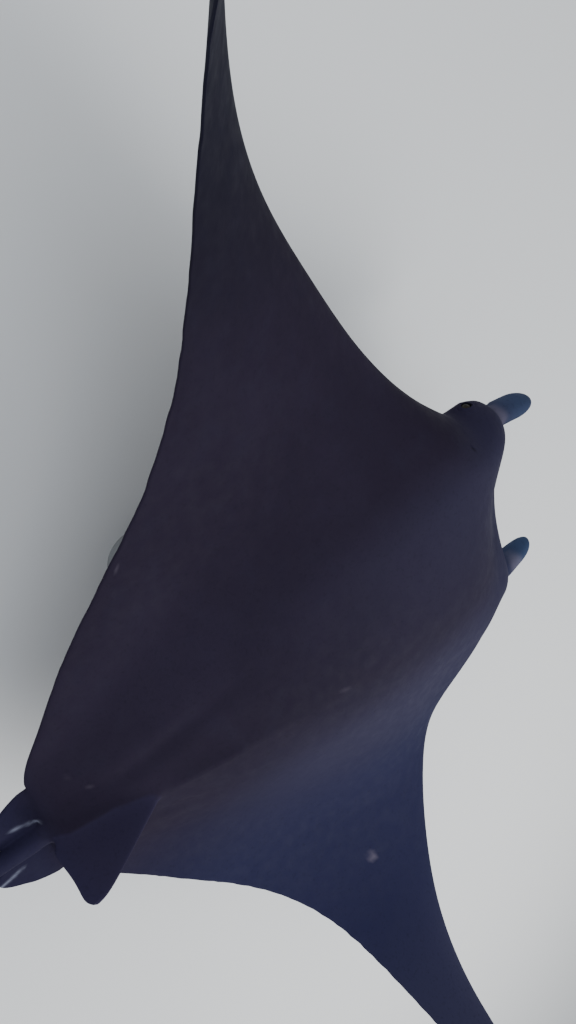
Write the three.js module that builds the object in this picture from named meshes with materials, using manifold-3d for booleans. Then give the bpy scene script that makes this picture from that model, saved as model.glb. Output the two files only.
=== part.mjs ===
// Manta ray, the all-black form of the reef manta, life size, held up by a plain display stand.
//
// Millimetres, +Z up. +X is the animal's left, -Y is forward. The origin is the middle of the
// underside of the stand's base. The body is first drawn lying flat, in hundredths of the disc width
// (the span of the flat animal): x out from the midline, y back from the tip of the head, z up from
// the middle plane. It is then scaled, both wings are bent up along their span, and it is set on the
// stand. Thin cuts part it into head, trunk, wings and lengths of tail.

import * as THREE from 'three';
import { mergeVertices } from 'three/addons/utils/BufferGeometryUtils.js';
import Module from 'manifold-3d';

const wasm = await Module();
wasm.setup();

// ---- driving dimensions, in millimetres ----

const DISC_WIDTH = 3500;
const BODY_HEIGHT = 470; // the body's middle plane above the floor
const GAP = 0.4; // between one solid and the next
const EYE_DIAMETER = 46;
const ROD_DIAMETER = 38;
const ROD_SPACING = 420;
const ROD_DEPTH = 45; // how far each rod reaches into the belly
const FLANGE_DIAMETER = 96;
const FLANGE_THICKNESS = 10;
const BASE_LENGTH = 740;
const BASE_WIDTH = 520;
const BASE_THICKNESS = 24;
const BASE_CORNER = 90;
const BASE_BEVEL = 3;

const UNIT = DISC_WIDTH / 100;
const BASE_CENTRE_Y = 20.5; // where along the body the stand's middle is, in units

// ---- outline of the flat body, in units, one side from the middle of the head to the wing tip ----

const FRONT_EDGE = [
  [0, 0.55], [3, 0.55], [5.8, 0.4], [7.6, -0.1], // upper jaw, out to the corner of the head
  [9.5, 1], [10.3, 3], [9.9, 4.3], [10.1, 4.9], [11.9, 6.7], // cheek with the eye, notch, wing
  [15.8, 10.2], [21.6, 13.8], [28.4, 17.1], [35, 20.8],
  [41.6, 23.2], [46.6, 24.1], [49.4, 25.8], [50, 27.5],
];
const REAR_EDGE = [
  [0, 46.4], [1.4, 46.4], [3, 46.4], [4.6, 46.3], // beside the tail, out to the wing's inner corner
  [6.1, 45.7], [7.5, 44.3], [8.7, 43.3], [10, 42.3], [11.8, 40.9],
  [15, 38.4], [21, 33.4], [28, 29.8], [35, 28.5],
  [42, 27.9], [46.8, 27.9], [49, 28.4], [49.9, 27.6],
];

// The head stands out sideways past the line its chord runs back along; the chord gets back to that
// line a little way in, so that neighbouring chords never cross.
const CHORD_LINE = [0, 3, 5.6, 7.1, 8.2, 9, 9.6, 10.3, 11.9, 15.8, 21.6, 28.4, 35, 41.6, 46.6, 49.4, 50];
const HEAD_FLARE = 0.9; // how far back the flare dies away

// ---- how each wing is bent: angles in radians, growing from the root to the tip ----

const WING_ROOT = 7;
const BEND = {
  left: { root: 0.205, rise: -0.248, curl: 0.309, twist: 1.413 },
  right: { root: -0.157, rise: 1.235, curl: 0.278, twist: 0.604 },
};

// ---- small helpers ----

const clamp = (v) => Math.min(1, Math.max(0, v));
const smooth = (v) => clamp(v) ** 2 * (3 - 2 * clamp(v));
const mix = (a, b, f) => a + (b - a) * f;
const bell = (v, centre, before, after) => Math.exp(-(((v - centre) / (v < centre ? before : after)) ** 2));
const bulge = (v) => Math.sqrt(1 - (1 - clamp(v)) ** 2); // quarter round, from 0 up to 1

// A smooth curve drawn through the neighbourhood of its points (a uniform cubic B-spline).
function smoothCurve(points, u) {
  const last = points.length - 1;
  const at = (k) => {
    if (k < 0) return points[0].map((v, n) => 2 * v - points[1][n]);
    if (k > last) return points[last].map((v, n) => 2 * v - points[last - 1][n]);
    return points[k];
  };
  const i = Math.min(Math.floor(u * last), last - 1);
  const f = u * last - i;
  const weights = [(1 - f) ** 3, 3 * f ** 3 - 6 * f ** 2 + 4, -3 * f ** 3 + 3 * f ** 2 + 3 * f + 1, f ** 3];
  return points[0].map((_, n) => weights.reduce((sum, w, k) => sum + (w * at(i - 1 + k)[n]) / 6, 0));
}

// ---- thickness of the flat body ----

const frontLine = Array.from({ length: 121 }, (_, i) => smoothCurve(FRONT_EDGE, i / 120));

function distanceToFrontEdge(x, y) {
  let best = Infinity;
  for (let i = 1; i < frontLine.length; i++) {
    const [ax, ay] = frontLine[i - 1];
    const [bx, by] = frontLine[i];
    const f = clamp(((x - ax) * (bx - ax) + (y - ay) * (by - ay)) / ((bx - ax) ** 2 + (by - ay) ** 2));
    best = Math.min(best, Math.hypot(x - mix(ax, bx, f), y - mix(ay, by, f)));
  }
  return best;
}

// Half thickness of the wing: a round front, thickest a third of the way back, then a long taper.
const ROOT_HALF = 2.43;
const TIP_HALF = 0.28;
const EDGE_HALF = 0.12;
const THICKEST = 0.33; // part of the chord
const EDGE_ROUND = 0.01;

function wingHalf(x, t) {
  const most = TIP_HALF + (ROOT_HALF - TIP_HALF) * clamp(1 - x / 50) ** 1.15;
  const section = t < THICKEST ? bulge(t / THICKEST) : 1 - ((t - THICKEST) / (1 - THICKEST)) ** 1.6;
  return most * section + EDGE_HALF * bulge(t / EDGE_ROUND) * bulge((1 - t) / EDGE_ROUND);
}

// The back and the belly swell over the wings: broad on the head, a rounded ridge farther back.
const CHEEK_ROUND = 3.3; // how far in from the front edge the swelling reaches its full height
const BACK_RISE = 4.8;
const BELLY_DROP = 3.8;
const LIP_SLOPE = 2.3; // how far the brow falls to the upper lip

function swelling(x, y, edge) {
  const width = 2.5 + 19.9 * bell(y, 17, 30, 21);
  const r = Math.min(1, x / width);
  const broad = smooth((15 - y) / 12);
  return mix((1 - r ** 2) ** 2, 1 - r ** 4, broad) * bulge(edge / CHEEK_ROUND);
}

function bodySurface(side, x, y, t) {
  const edge = distanceToFrontEdge(x, y);
  const swell = swelling(x, y, edge);
  if (side < 0) return -0.8 * wingHalf(x, t) - BELLY_DROP * bell(y, 22, 16, 22) * swell;
  const brow = LIP_SLOPE * bell(y, 2, 3, 4) * bell(x, 0, 6, 6) * bulge(edge / CHEEK_ROUND);
  return wingHalf(x, t) + BACK_RISE * bell(y, 19, 25, 24) * swell - brow;
}

// ---- bending and placing: flat units to millimetres in the model's frame ----

const BEND_STEPS = 24;
const HEAD_TURN = 0.05; // the head turns a little to the animal's right

function place([x, y, z]) {
  const bend = x < 0 ? BEND.right : BEND.left;
  const reach = Math.abs(x);
  let out = 0;
  let up = 0;
  let angle = 0;
  for (let i = 0; i <= BEND_STEPS; i++) {
    const s = Math.max(0, ((i / BEND_STEPS) * reach - WING_ROOT) / (50 - WING_ROOT));
    angle = bend.root * smooth(s / 0.25) + bend.rise * s + bend.curl * s ** 2;
    angle += bend.twist * s * (y - 22) * 0.04;
    const weight = (i === 0 || i === BEND_STEPS ? 0.5 : 1) / BEND_STEPS;
    out += Math.cos(angle) * reach * weight;
    up += Math.sin(angle) * reach * weight;
  }
  out -= Math.sin(angle) * z;
  up += Math.cos(angle) * z;
  const turned = y - HEAD_TURN * x * smooth(1 - y / 9);
  return [Math.sign(x) * out * UNIT, (turned - BASE_CENTRE_Y) * UNIT, up * UNIT + BODY_HEIGHT];
}

// ---- closed surfaces from rings of points; each end is closed by a strip across its ring ----

function skinOfRings(rings) {
  const n = rings[0].length;
  const lastRing = (rings.length - 1) * n;
  const faces = [];
  for (let i = 0; i < n; i++) {
    const j = (i + 1) % n;
    for (let ring = 0; ring < lastRing; ring += n) {
      faces.push(ring + i, ring + n + i, ring + j);
      faces.push(ring + j, ring + n + i, ring + n + j);
    }
  }
  for (let i = 0; i + 1 < n / 2; i++) {
    const across = n - 1 - i;
    faces.push(i, i + 1, across - 1, i, across - 1, across);
    faces.push(lastRing + i, lastRing + across - 1, lastRing + i + 1);
    faces.push(lastRing + i, lastRing + across, lastRing + across - 1);
  }
  const geometry = new THREE.BufferGeometry();
  geometry.setAttribute('position', new THREE.Float32BufferAttribute(rings.flat(2), 3));
  geometry.setIndex(faces);
  return geometry;
}

function toSolid(geometry) {
  const bare = geometry.clone();
  for (const name of Object.keys(bare.attributes)) if (name !== 'position') bare.deleteAttribute(name);
  const merged = mergeVertices(bare, 1e-3);
  const vertProperties = new Float32Array(merged.attributes.position.array);
  const triVerts = new Uint32Array(merged.index.array);
  const solid = new wasm.Manifold(new wasm.Mesh({ numProp: 3, vertProperties, triVerts }));
  return solid.volume() > 0 ? solid : toSolid(turnedOver(merged));
}

// The same surface with its faces pointing the other way.
function turnedOver(geometry) {
  const flipped = geometry.clone();
  const faces = Array.from(geometry.index.array);
  for (let i = 0; i < faces.length; i += 3) [faces[i], faces[i + 1]] = [faces[i + 1], faces[i]];
  flipped.setIndex(faces);
  return flipped;
}

function toGeometry(solid) {
  const mesh = solid.getMesh();
  const geometry = new THREE.BufferGeometry();
  geometry.setAttribute('position', new THREE.BufferAttribute(mesh.vertProperties, 3));
  geometry.setIndex(new THREE.BufferAttribute(mesh.triVerts, 1));
  return geometry;
}

// A cut can leave scraps on the far side of what it cuts: only the largest piece is kept.
function largestPiece(solid) {
  return solid.decompose().reduce((best, piece) => (piece.volume() > best.volume() ? piece : best));
}

// ---- the disc: head, trunk and wings in one, with room to spare all round where it is a cutter ----

const SPAN_STEPS = 36;
const CHORD_STEPS = 12;

function disc(spare) {
  const rings = [];
  const chordLine = CHORD_LINE.map((x) => [x]);
  for (let i = -SPAN_STEPS; i <= SPAN_STEPS; i++) {
    const front = smoothCurve(FRONT_EDGE, Math.abs(i) / SPAN_STEPS);
    const rear = smoothCurve(REAR_EDGE, Math.abs(i) / SPAN_STEPS);
    const [start] = smoothCurve(chordLine, Math.abs(i) / SPAN_STEPS);
    const ring = [];
    for (let k = 0; k < 2 * CHORD_STEPS; k++) {
      const side = k < CHORD_STEPS ? 1 : -1;
      const turn = Math.PI * (k / CHORD_STEPS);
      const t = (1 - Math.cos(turn)) / 2;
      const y = mix(front[1], rear[1], t);
      const x = mix(start, rear[0], t) + (front[0] - start) * Math.exp((front[1] - y) / HEAD_FLARE);
      const z = k % CHORD_STEPS === 0 ? 0 : bodySurface(side, x, y, t) + side * spare;
      ring.push(place([Math.sign(i) * x, y - spare * Math.cos(turn), z]));
    }
    rings.push(ring);
  }
  return toSolid(skinOfRings(rings));
}

// ---- blades: a fin is a blade between a front and a rear edge, thick at the root, thin at the tip ----

const BLADE_STEPS = 8;
const BLADE_SIDES = 5;

function blade(front, rear, halfThickness, lay) {
  const rings = [];
  for (let i = 0; i <= BLADE_STEPS; i++) {
    const u = i / BLADE_STEPS;
    const a = smoothCurve(front, u);
    const b = smoothCurve(rear, u);
    const ring = [];
    for (let k = 0; k < 2 * BLADE_SIDES; k++) {
      const side = k < BLADE_SIDES ? 1 : -1;
      const t = (1 - Math.cos((Math.PI * k) / BLADE_SIDES)) / 2;
      const section = k % BLADE_SIDES === 0 ? 0 : bulge(t / 0.35) * (1 - 0.75 * smooth((t - 0.35) / 0.65));
      ring.push(place(lay(mix(a[0], b[0], t), mix(a[1], b[1], t), side * section * halfThickness(u))));
    }
    rings.push(ring);
  }
  return toSolid(skinOfRings(rings));
}

// Dorsal fin: points are back and up. It leans a little to the animal's right.
const DORSAL_FRONT = [[36.2, 2.2], [38.5, 3.2], [40.9, 4.3], [43.2, 5.5], [45.3, 6.65], [46.4, 6.95]];
const DORSAL_REAR = [[45.6, 0], [46.9, 1.5], [46.9, 3], [46.9, 4.6], [47.1, 5.9], [46.9, 6.6]];
const DORSAL_LEAN = 0.14;

function dorsalFin() {
  const half = (u) => mix(1.1, 0.14, bulge(u));
  return blade(DORSAL_FRONT, DORSAL_REAR, half, (y, z, d) => [d - DORSAL_LEAN * (z - 2), y, z]);
}

// Pelvic fins: points are out and back. They lie flat beside the root of the tail.
const PELVIC_FRONT = [[0.3, 42.5], [1.8, 43], [3.2, 44], [4.2, 45.3], [4.5, 46.6], [3.6, 48.4]];
const PELVIC_REAR = [[0.3, 47], [0.7, 49], [1.1, 50.3], [1.8, 50.8], [2.5, 50.3], [3.2, 49.2]];
const PELVIC_LEVEL = -0.5;

function pelvicFin(side) {
  const half = (u) => mix(0.4, 0.13, u);
  const lay = (x, y, d) => [side * x, y, PELVIC_LEVEL + 0.06 * x + d];
  return blade(PELVIC_FRONT, PELVIC_REAR, half, lay);
}

// ---- tail: a thin whip as long as the disc, from inside the trunk to its blunt tip ----

const TAIL_START = 41;
const TAIL_END = 91;
const TAIL_STEPS = 22;
const TAIL_SIDES = 8;

function tailRadius(y) {
  return 0.12 + 1.0 * ((TAIL_END - y) / (TAIL_END - TAIL_START)) ** 2.4;
}

function tailMiddle(y) {
  const back = (y - TAIL_START) / (TAIL_END - TAIL_START);
  return [2.4 * back - 4.6 * back ** 2 + 1.4 * back ** 3, y, 0.5 - 3.5 * back + 4.6 * back ** 2];
}

function tail(spare) {
  const rings = [];
  for (let i = 0; i <= TAIL_STEPS; i++) {
    const y = mix(TAIL_START, TAIL_END, (i / TAIL_STEPS) ** 1.15);
    const [x, , z] = tailMiddle(y);
    const r = tailRadius(y) + spare;
    const ring = [];
    for (let k = 0; k < TAIL_SIDES; k++) {
      const a = (2 * Math.PI * k) / TAIL_SIDES;
      ring.push(place([x + r * Math.cos(a), y, z + 0.85 * r * Math.sin(a)]));
    }
    rings.push(ring);
  }
  return toSolid(skinOfRings(rings));
}

// ---- cephalic fins: a thick paddle rolled up lengthwise into a short horn that points forward ----

const HORN_ROOT = { left: [7.7, 3, 0.3], right: [8.2, 3, 0.3] };
const HORN_KNEE = { left: [7.6, 0, 0.5], right: [9, -0.2, 0.5] };
const HORN_TIP = { left: [7, -3.9, 0.8], right: [7.7, -3.5, 0.9] };
const HORN_BASE = { left: 1.16, right: 1.56 }; // radius of the roll where it leaves the head
const HORN_TURNS = 1.1;
const HORN_STEPS = 9;
const HORN_SIDES = 13;
const HORN_SHEET = 0.24; // thickness of the rolled paddle, part of the roll's radius
const HORN_EDGE = 0.1; // and at its two long edges
const HORN_DEPTH = 1.2; // the roll is deeper than it is wide

function hornRadius(name, s) {
  return mix(HORN_BASE[name], 1.14, smooth((s - 0.25) / 0.6)) * bulge((1.03 - s) / 0.3);
}

function cephalicFin(name, side) {
  const corners = [HORN_ROOT[name], HORN_KNEE[name], HORN_TIP[name]].map((p) => new THREE.Vector3(...p));
  const axis = new THREE.QuadraticBezierCurve3(...corners);
  const up = new THREE.Vector3(0, 0, 1);
  const rings = [];
  for (let i = 0; i <= HORN_STEPS; i++) {
    const s = i / HORN_STEPS;
    const along = axis.getTangent(s);
    const across = new THREE.Vector3().crossVectors(along, up).normalize();
    const upward = new THREE.Vector3().crossVectors(across, along).normalize();
    const ring = [];
    for (let k = 0; k < 2 * HORN_SIDES; k++) {
      const inner = k >= HORN_SIDES;
      const q = (inner ? 2 * HORN_SIDES - 1 - k : k) / (HORN_SIDES - 1);
      const angle = 2 * Math.PI * (0.6 - HORN_TURNS * q);
      const sheet = mix(HORN_EDGE, HORN_SHEET, bulge(q / 0.2) * bulge((1 - q) / 0.2));
      const r = hornRadius(name, s) * (1 - 0.46 * q - (inner ? sheet : 0));
      const p = axis.getPoint(s).addScaledVector(across, r * Math.cos(angle));
      p.addScaledVector(upward, HORN_DEPTH * r * Math.sin(angle));
      ring.push(place([side * p.x, p.y, p.z]));
    }
    rings.push(ring);
  }
  return toSolid(skinOfRings(rings));
}

// ---- eyes and mouth ----

const EYE_PLACE = [9.55, 3.2, 0.3];

function ball(radius, [x, y, z], stretch = [1, 1, 1]) {
  const geometry = new THREE.SphereGeometry(radius, 14, 10);
  geometry.scale(...stretch);
  geometry.translate(...place([x, y, z]));
  return toSolid(geometry);
}

function eye(side, spare) {
  return ball(EYE_DIAMETER / 2 + spare, [side * EYE_PLACE[0], EYE_PLACE[1], EYE_PLACE[2]]);
}


// The mouth is a wide flat slot across the front of the head, a little open.
const MOUTH_MIDDLE = [0, 1.2, -0.6];
const MOUTH_HALF = [6.6, 4.8, 0.45];
const mouth = () => ball(UNIT, MOUTH_MIDDLE, MOUTH_HALF);

// ---- the display stand ----

function bellyAt(y) {
  const front = FRONT_EDGE[0][1];
  return bodySurface(-1, 0, y, (y - front) / (REAR_EDGE[0][1] - front)) * UNIT + BODY_HEIGHT;
}

function rodTop(y) {
  return bellyAt(y / UNIT + BASE_CENTRE_Y) + ROD_DEPTH;
}

function rod(y, spare) {
  const foot = BASE_THICKNESS + GAP - spare;
  const flange = foot + FLANGE_THICKNESS;
  const r = ROD_DIAMETER / 2 + spare;
  const top = rodTop(y) + spare;
  const profile = [[0, foot], [FLANGE_DIAMETER / 2, foot], [FLANGE_DIAMETER / 2, flange - 2],
    [FLANGE_DIAMETER / 2 - 2, flange], [r, flange], [r, top], [0, top]];
  const geometry = new THREE.LatheGeometry(profile.map((p) => new THREE.Vector2(...p)), 20);
  geometry.rotateX(Math.PI / 2);
  geometry.translate(0, y, 0);
  return toSolid(geometry);
}

function standBase() {
  const w = BASE_WIDTH / 2 - BASE_BEVEL;
  const l = BASE_LENGTH / 2 - BASE_BEVEL;
  const c = BASE_CORNER;
  const outline = new THREE.Shape();
  outline.absarc(w - c, l - c, c, 0, Math.PI / 2);
  outline.absarc(c - w, l - c, c, Math.PI / 2, Math.PI);
  outline.absarc(c - w, c - l, c, Math.PI, 1.5 * Math.PI);
  outline.absarc(w - c, c - l, c, 1.5 * Math.PI, 2 * Math.PI);
  const geometry = new THREE.ExtrudeGeometry(outline, {
    depth: BASE_THICKNESS - 2 * BASE_BEVEL,
    bevelSize: BASE_BEVEL,
    bevelThickness: BASE_BEVEL,
    bevelSegments: 1,
    curveSegments: 6,
  });
  geometry.translate(0, 0, BASE_BEVEL);
  return toSolid(geometry);
}

// ---- parting: boxes with a thin gap between them, given in units of the flat body ----

const HEAD_END = 8.6;
const TRUNK_HALF_WIDTH = 13;
const TRUNK_END = 46.8;
const TAIL_CUTS = [60, 75];
const FAR = 120;

function region([x0, x1], [y0, y1]) {
  const size = [(x1 - x0) * UNIT - GAP, (y1 - y0) * UNIT - GAP, 2 * FAR * UNIT];
  const geometry = new THREE.BoxGeometry(...size);
  geometry.translate(((x0 + x1) / 2) * UNIT, ((y0 + y1) / 2 - BASE_CENTRE_Y) * UNIT, 0);
  return toSolid(geometry);
}

const SIDES = [['left', 1], ['right', -1]];
const ROD_PLACES = [['front', -ROD_SPACING / 2], ['rear', ROD_SPACING / 2]];
const INNER = [-TRUNK_HALF_WIDTH, TRUNK_HALF_WIDTH];

const whole = disc(0).add(tail(0));
const grown = disc(GAP / UNIT).add(tail(GAP / UNIT));
const rods = ROD_PLACES.map(([name, y]) => [name, rod(y, 0), rod(y, GAP)]);

const solids = {
  head: whole.intersect(region(INNER, [-FAR, HEAD_END])).subtract(mouth()),
  trunk: whole.intersect(region(INNER, [HEAD_END, TRUNK_END])),
  wing_left: whole.intersect(region([TRUNK_HALF_WIDTH, FAR], [-FAR, FAR])),
  wing_right: whole.intersect(region([-FAR, -TRUNK_HALF_WIDTH], [-FAR, FAR])),
  tail_base: whole.intersect(region(INNER, [TRUNK_END, TAIL_CUTS[0]])),
  tail_middle: whole.intersect(region(INNER, TAIL_CUTS)),
  tail_tip: whole.intersect(region(INNER, [TAIL_CUTS[1], FAR])),
  dorsal_fin: dorsalFin().subtract(grown),
  stand_base: standBase(),
};
for (const [name, side] of SIDES) {
  solids.head = solids.head.subtract(eye(side, GAP));
  solids[`eye_${name}`] = eye(side, 0);
  solids[`cephalic_fin_${name}`] = cephalicFin(name, side).subtract(grown).subtract(eye(side, GAP));
  solids[`pelvic_fin_${name}`] = pelvicFin(side).subtract(grown);
}
for (const [name, solid, socket] of rods) {
  solids.trunk = solids.trunk.subtract(socket);
  solids[`stand_rod_${name}`] = solid;
}

// ---- finishes and the finished group ----

const skinDark = { color: 0x2a2b3a, roughness: 0.62, metalness: 0 };
const skinWing = { color: 0x2d3042, roughness: 0.62, metalness: 0 };
const eyeDark = { color: 0x0c0d10, roughness: 0.12, metalness: 0 };
const basePaint = { color: 0x8d9093, roughness: 0.55, metalness: 0.1 };
const rodSteel = { color: 0xb4b6b8, roughness: 0.32, metalness: 1 };

function finishOf(name) {
  if (name.startsWith('eye')) return eyeDark;
  if (name.startsWith('wing')) return skinWing;
  if (name === 'stand_base') return basePaint;
  return name.startsWith('stand') ? rodSteel : skinDark;
}

const manta = new THREE.Group();
for (const [name, solid] of Object.entries(solids)) {
  const finish = new THREE.MeshStandardMaterial(finishOf(name));
  const mesh = new THREE.Mesh(toGeometry(largestPiece(solid)), finish);
  mesh.name = name;
  manta.add(mesh);
}

export default manta;
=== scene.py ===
# Manta ray, the all-black form of the reef manta, life size on a plain display stand.
# Metres, +Z up; +X is the animal's left and -Y is forward. One closed skin stands for all the
# flesh; the eyes, rods and base plate are separate pieces. The flat body is drawn in units,
# hundredths of the disc width: x out from the midline, y back from the tip of the head, z up from
# the middle plane.

import math

import bmesh
import bpy
import numpy as np
from mathutils import Matrix, Vector
from mathutils.kdtree import KDTree


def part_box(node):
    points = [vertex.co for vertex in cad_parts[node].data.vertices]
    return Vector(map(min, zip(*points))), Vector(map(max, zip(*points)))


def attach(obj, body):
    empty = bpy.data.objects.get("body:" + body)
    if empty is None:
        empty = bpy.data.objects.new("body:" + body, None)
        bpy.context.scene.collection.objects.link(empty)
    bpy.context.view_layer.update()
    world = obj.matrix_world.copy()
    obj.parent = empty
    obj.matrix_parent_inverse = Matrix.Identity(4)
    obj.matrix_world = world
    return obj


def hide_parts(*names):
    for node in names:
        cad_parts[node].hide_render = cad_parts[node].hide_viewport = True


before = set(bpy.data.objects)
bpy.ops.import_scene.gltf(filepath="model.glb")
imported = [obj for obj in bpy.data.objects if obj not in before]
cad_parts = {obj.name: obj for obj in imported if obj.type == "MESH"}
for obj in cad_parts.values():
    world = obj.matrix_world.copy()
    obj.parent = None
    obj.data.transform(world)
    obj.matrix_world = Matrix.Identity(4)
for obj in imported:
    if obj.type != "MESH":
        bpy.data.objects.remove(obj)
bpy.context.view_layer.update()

MM = 0.001
UNIT = 0.035
BODY_HEIGHT = 0.47
BASE_CENTRE_Y = 20.5
SIDES = (("left", 1), ("right", -1))

# ---- the flat body: outline and thickness, the same rules as the solids ----

FRONT_EDGE = np.array([
    [0, 0.55], [3, 0.55], [5.8, 0.4], [7.6, -0.1], [9.5, 1], [10.3, 3], [9.9, 4.3], [10.1, 4.9],
    [11.9, 6.7], [15.8, 10.2], [21.6, 13.8], [28.4, 17.1], [35, 20.8], [41.6, 23.2], [46.6, 24.1],
    [49.4, 25.8], [50, 27.5],
])
REAR_EDGE = np.array([
    [0, 46.4], [1.4, 46.4], [3, 46.4], [4.6, 46.3], [6.1, 45.7], [7.5, 44.3], [8.7, 43.3],
    [10, 42.3], [11.8, 40.9], [15, 38.4], [21, 33.4], [28, 29.8], [35, 28.5], [42, 27.9],
    [46.8, 27.9], [49, 28.4], [49.9, 27.6],
])
CHORD_LINE = np.array([
    0, 3, 5.6, 7.1, 8.2, 9, 9.6, 10.3, 11.9, 15.8, 21.6, 28.4, 35, 41.6, 46.6, 49.4, 50,
])[:, None]
HEAD_FLARE = 0.9
WING_ROOT = 7
BEND = {"left": (0.205, -0.248, 0.309, 1.413), "right": (-0.157, 1.235, 0.278, 0.604)}
BEND_STEPS = 24
HEAD_TURN = 0.05
ROOT_HALF, TIP_HALF, EDGE_HALF = 2.43, 0.28, 0.12
THICKEST, EDGE_ROUND, REAR_ROUND, TIP_ROUND = 0.33, 0.01, 0.035, 0.02
CHEEK_ROUND, BACK_RISE, BELLY_DROP, LIP_SLOPE = 3.3, 4.8, 3.8, 2.3


def clamp(v):
    return np.clip(v, 0.0, 1.0)


def smooth(v):
    return clamp(v) ** 2 * (3 - 2 * clamp(v))


def mix(a, b, f):
    return a + (b - a) * f


def bell(v, centre, before, after=None):
    return np.exp(-(((v - centre) / np.where(v < centre, before, after or before)) ** 2))


def bulge(v):
    return np.sqrt(clamp(1 - (1 - clamp(v)) ** 2))


def smooth_curve(points, u):
    """Points along a uniform cubic B-spline drawn through the neighbourhood of the given ones."""
    points = np.asarray(points, float)
    last = len(points) - 1
    padded = np.concatenate([[2 * points[0] - points[1]], points, [2 * points[-1] - points[-2]]])
    step = np.atleast_1d(np.asarray(u, float)) * last
    i = np.clip(np.floor(step).astype(int), 0, last - 1)
    f = (step - i)[:, None]
    a, b, c, d = (padded[i + k] for k in range(4))
    whole = (1 - f) ** 3 * a + (3 * f**3 - 6 * f**2 + 4) * b
    return (whole + (-3 * f**3 + 3 * f**2 + 3 * f + 1) * c + f**3 * d) / 6


FRONT_LINE = smooth_curve(FRONT_EDGE, np.linspace(0, 1, 121))


def distance_to_line(x, y, line):
    best = np.full(np.shape(x), 1e9)
    for (ax, ay), (bx, by) in zip(line[:-1], line[1:]):
        f = clamp(((x - ax) * (bx - ax) + (y - ay) * (by - ay)) / ((bx - ax) ** 2 + (by - ay) ** 2))
        best = np.minimum(best, np.hypot(x - mix(ax, bx, f), y - mix(ay, by, f)))
    return best


def wing_half(x, t):
    most = TIP_HALF + (ROOT_HALF - TIP_HALF) * clamp(1 - x / 50) ** 1.15
    after = 1 - clamp((t - THICKEST) / (1 - THICKEST)) ** 1.6
    section = np.where(t < THICKEST, bulge(t / THICKEST), after)
    return most * section + EDGE_HALF * bulge(t / EDGE_ROUND) * bulge((1 - t) / EDGE_ROUND)


def swelling(x, y, t, edge):
    r = np.minimum(1, x / (2.5 + 19.9 * bell(y, 17, 30, 21)))
    broad = smooth((15 - y) / 12)
    shape = mix((1 - r**2) ** 2, 1 - r**4, broad)
    return shape * bulge(edge / CHEEK_ROUND) * bulge((1 - t) / REAR_ROUND)


def place(flat):
    """Bends the wings and turns flat units into metres in the row frame."""
    flat = np.atleast_2d(flat)
    x, y, z = flat.T
    reach = np.abs(x)
    bend = np.where((x < 0)[:, None], BEND["right"], BEND["left"]).T
    out, up, angle = 0.0, 0.0, 0.0
    for i in range(BEND_STEPS + 1):
        s = np.maximum(0, (i / BEND_STEPS * reach - WING_ROOT) / (50 - WING_ROOT))
        angle = bend[0] * smooth(s / 0.25) + bend[1] * s + bend[2] * s**2
        angle = angle + bend[3] * s * (y - 22) * 0.04
        weight = (0.5 if i in (0, BEND_STEPS) else 1) / BEND_STEPS
        out = out + np.cos(angle) * reach * weight
        up = up + np.sin(angle) * reach * weight
    out = out - np.sin(angle) * z
    up = up + np.cos(angle) * z
    side = np.where(x < 0, -1, 1)
    back = y - HEAD_TURN * x * smooth(1 - y / 9)
    return np.stack([side * out * UNIT, (back - BASE_CENTRE_Y) * UNIT, up * UNIT + BODY_HEIGHT], 1)


def in_units(points):
    """Units across, back and up of points in metres."""
    x, y, z = points.T
    return x / UNIT, y / UNIT + BASE_CENTRE_Y, (z - BODY_HEIGHT) / UNIT


# ---- relief: what the skin has over the smooth body, in millimetres outward ----

# Gill slits, one side: inner end and outer end (x, y), in units.
GILL_SLITS = [
    ((4.6, 10.6), (12.0, 9.4)), ((4.2, 13.1), (11.9, 12.2)), ((3.8, 15.5), (11.2, 14.9)),
    ((3.4, 17.7), (10.0, 17.3)), ((3.0, 19.6), (7.4, 19.5)),
]
GILL_BOW = 0.55  # how far the middle of a slit bows back, in units
SPIRACLE, SPIRACLE_BOW, SPIRACLE_SOFT = ((9.0, 5.9), (9.8, 6.4)), 0.15, 0.5
NOSTRIL = (5.5, 2.5)
SLIT_DROP = 4.0  # millimetres from the lip of a slit to its floor
# Heights and depths in millimetres.
RIDGE_HEIGHT, FOOT_DEPTH, TEMPLE_DEPTH = 15.0, 9.0, 3.0
# Depth, place from the front, width before and after it, and where each crease ends.
JAW_CREASES = ((2.5, 5.2, 0.5, 0.9, 7.2), (2.0, 6.6, 0.4, 0.7, 6.4))
NOSTRIL_DEPTH, NOSTRIL_RIM = 8, 2.0
SPIRACLE_SHAPE = {"flap": 0.8, "flap_length": 12, "depth": 4, "shelf": 7}
GILL_SHAPE = {"flap": 7, "flap_length": 62, "depth": 9, "shelf": 22}


def slit_frame(x, y, ends, bow, soft=0.14):
    """How far behind a slit each point is, in mm, and how far within its ends (0 outside, 1 in)."""
    (x0, y0), (x1, y1) = ends
    f = (np.abs(x) - x0) / (x1 - x0)
    behind = y - mix(y0, y1, f) - bow * 4 * f * (1 - f)
    within = smooth(f / soft) * smooth((1 - f) / soft)
    return behind * UNIT / MM, within


def slit_relief(behind, within, flap, flap_length, depth, shelf):
    """A flap that rises toward the slit, a steep drop, and a slope back up behind it."""
    rise = flap * smooth((behind + flap_length) / flap_length)
    fall = mix(flap, -depth, smooth(behind / SLIT_DROP))
    back = -depth * (1 - smooth((behind - SLIT_DROP) / shelf))
    return within * np.where(behind < 0, rise, np.where(behind < SLIT_DROP, fall, back))


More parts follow.
